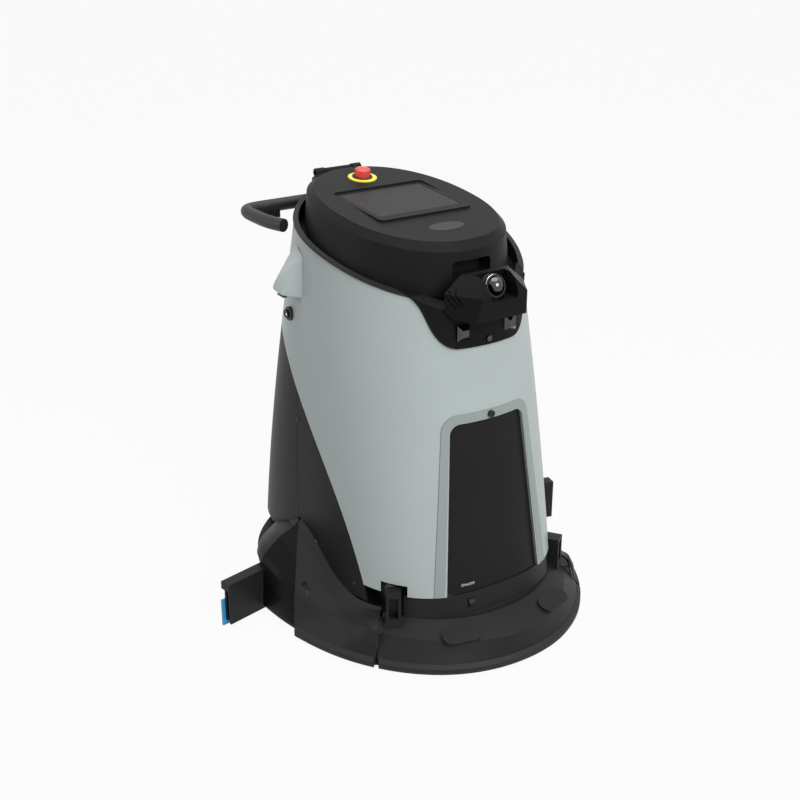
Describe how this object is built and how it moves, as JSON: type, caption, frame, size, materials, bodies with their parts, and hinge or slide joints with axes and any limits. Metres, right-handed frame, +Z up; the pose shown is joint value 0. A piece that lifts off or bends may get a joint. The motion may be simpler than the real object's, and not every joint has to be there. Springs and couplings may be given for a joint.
{
  "type": "autonomous floor scrubbing robot",
  "caption": "Upright autonomous floor-scrubbing robot with a tapered two-tone housing, tilting lid with touch screen, lidar pod, brush deck, rear squeegee and push handle.",
  "frame": {"origin": "on the floor under the centre of the housing", "axes": "+Z up, the robot faces -Y, its own right hand is -X"},
  "size_m": [1.029, 0.971, 1.0306],
  "materials": {
    "shell_grey": "satin moulded ABS",
    "cover_black": "fine-textured moulded ABS",
    "panel_black": "smooth moulded panel",
    "lid_charcoal": "fine-textured moulded ABS",
    "base_black": "textured moulded polypropylene",
    "bumper_rubber": "moulded rubber strip",
    "screen_glass": "hard-coated touch glass",
    "lens_glass": "dark optical window",
    "sensor_black": "moulded sensor housing",
    "stop_red": "moulded push button",
    "stop_yellow": "printed ring plate",
    "dark_steel": "powder-coated steel",
    "zinc_steel": "zinc-plated steel",
    "tyre_rubber": "moulded polyurethane tyre",
    "hub_plastic": "glass-filled nylon",
    "tank_plastic": "rotomoulded polyethylene",
    "bristle_blue": "nylon bristles",
    "squeegee_blue": "polyurethane squeegee rubber",
    "grip_black": "soft-touch sleeve over steel tube"
  },
  "bodies": {
    "housing": {"chassis": "dark_steel", "front_shell": "shell_grey", "rear_cover": "cover_black", "side_panels": "panel_black", "front_panel": "panel_black", "rim_gutter": "base_black", "recovery_tank": "tank_plastic", "solution_tank": "tank_plastic", "battery": "cover_black", "electronics_box": "zinc_steel", "vacuum_motor": "zinc_steel", "sensor_pod": "cover_black", "lidar_guard": "cover_black", "lidar_base": "sensor_black", "lidar_dome": "lens_glass", "pod_cameras": "lens_glass", "camera_hoods": "shell_grey", "side_sensors": "sensor_black", "cover_screws": "sensor_black", "water_fill_port": "base_black", "charge_plate": "zinc_steel", "side_fairings": "base_black", "front_apron": "base_black", "side_strips": "bumper_rubber", "handle_bracket": "cover_black", "handle_tube": "grip_black", "handle_switch": "sensor_black", "drive_motors": "zinc_steel", "suction_pipe_upper": "base_black"},
    "lid": {"lid": "lid_charcoal", "lid_patch": "sensor_black", "screen_bezel": "lid_charcoal", "touch_glass": "screen_glass", "stop_ring": "stop_yellow", "stop_base": "sensor_black"},
    "stop_button": {"stop_head": "stop_red"},
    "drive_wheel_right": {"drive_tyre_right": "tyre_rubber", "drive_hub_right": "hub_plastic"},
    "drive_wheel_left": {"drive_tyre_left": "tyre_rubber", "drive_hub_left": "hub_plastic"},
    "caster_front": {"caster_fork_front": "zinc_steel"},
    "caster_front_wheel": {"caster_wheel_front": "tyre_rubber"},
    "caster_rear": {"caster_fork_rear": "zinc_steel"},
    "caster_rear_wheel": {"caster_wheel_rear": "tyre_rubber"},
    "brush_deck": {"brush_deck": "dark_steel", "brush_motors": "zinc_steel"},
    "brush_right": {"disc_brush_right": "hub_plastic", "bristles_right": "bristle_blue"},
    "brush_left": {"disc_brush_left": "hub_plastic", "bristles_left": "bristle_blue"},
    "squeegee": {"squeegee_bar": "base_black", "squeegee_blade": "squeegee_blue", "squeegee_arm": "dark_steel", "suction_pipe_lower": "base_black"},
    "bumper": {"front_bumper": "base_black", "bumper_strip": "bumper_rubber", "bumper_posts": "base_black", "bumper_pads": "base_black"},
    "panel_lock": {"panel_lock": "sensor_black"},
    "power_rocker": {"power_rocker": "sensor_black"}
  },
  "joints": [
    {"name": "lid_hinge", "type": "hinge", "parent": "housing", "child": "lid", "pos_m": [0, 0.29, 1.001], "axis": [-1, 0, 0], "range_deg": [0, 62]},
    {"name": "stop_press", "type": "slide", "parent": "lid", "child": "stop_button", "axis": [0, 0.1132, -0.9936], "range_m": [0, 0.004], "stiffness_N_per_m": 900, "springref_m": -0.002},
    {"name": "drive_right_spin", "type": "hinge", "parent": "housing", "child": "drive_wheel_right", "pos_m": [-0.306, 0.04, 0.09], "axis": [1, 0, 0], "continuous": true},
    {"name": "drive_left_spin", "type": "hinge", "parent": "housing", "child": "drive_wheel_left", "pos_m": [0.306, 0.04, 0.09], "axis": [1, 0, 0], "continuous": true},
    {"name": "caster_front_swivel", "type": "hinge", "parent": "housing", "child": "caster_front", "pos_m": [0, -0.335, 0.12], "axis": [0, 0, 1], "continuous": true},
    {"name": "caster_front_roll", "type": "hinge", "parent": "caster_front", "child": "caster_front_wheel", "pos_m": [0, -0.313, 0.032], "axis": [1, 0, 0], "continuous": true},
    {"name": "caster_rear_swivel", "type": "hinge", "parent": "housing", "child": "caster_rear", "pos_m": [0, 0.246, 0.12], "axis": [0, 0, 1], "continuous": true},
    {"name": "caster_rear_roll", "type": "hinge", "parent": "caster_rear", "child": "caster_rear_wheel", "pos_m": [0, 0.268, 0.032], "axis": [1, 0, 0], "continuous": true},
    {"name": "brush_deck_lift", "type": "slide", "parent": "housing", "child": "brush_deck", "axis": [0, 0, 1], "range_m": [-0.026, 0]},
    {"name": "brush_right_spin", "type": "hinge", "parent": "brush_deck", "child": "brush_right", "pos_m": [-0.154, -0.19, 0.09], "axis": [0, 0, 1], "continuous": true},
    {"name": "brush_left_spin", "type": "hinge", "parent": "brush_deck", "child": "brush_left", "pos_m": [0.154, -0.19, 0.09], "axis": [0, 0, 1], "continuous": true},
    {"name": "squeegee_lift", "type": "slide", "parent": "housing", "child": "squeegee", "axis": [0, 0, 1], "range_m": [0, 0.014]},
    {"name": "bumper_press", "type": "slide", "parent": "housing", "child": "bumper", "axis": [0, 1, 0], "range_m": [0, 0.004], "stiffness_N_per_m": 2500, "springref_m": -0.004},
    {"name": "lock_turn", "type": "hinge", "parent": "housing", "child": "panel_lock", "pos_m": [0, -0.353, 0.574], "axis": [0, -1, 0], "range_deg": [0, 90]},
    {"name": "rocker_tilt", "type": "hinge", "parent": "housing", "child": "power_rocker", "pos_m": [-0.075, -0.401, 0.13], "axis": [1, 0, 0], "range_deg": [-8, 8]}
  ]
}
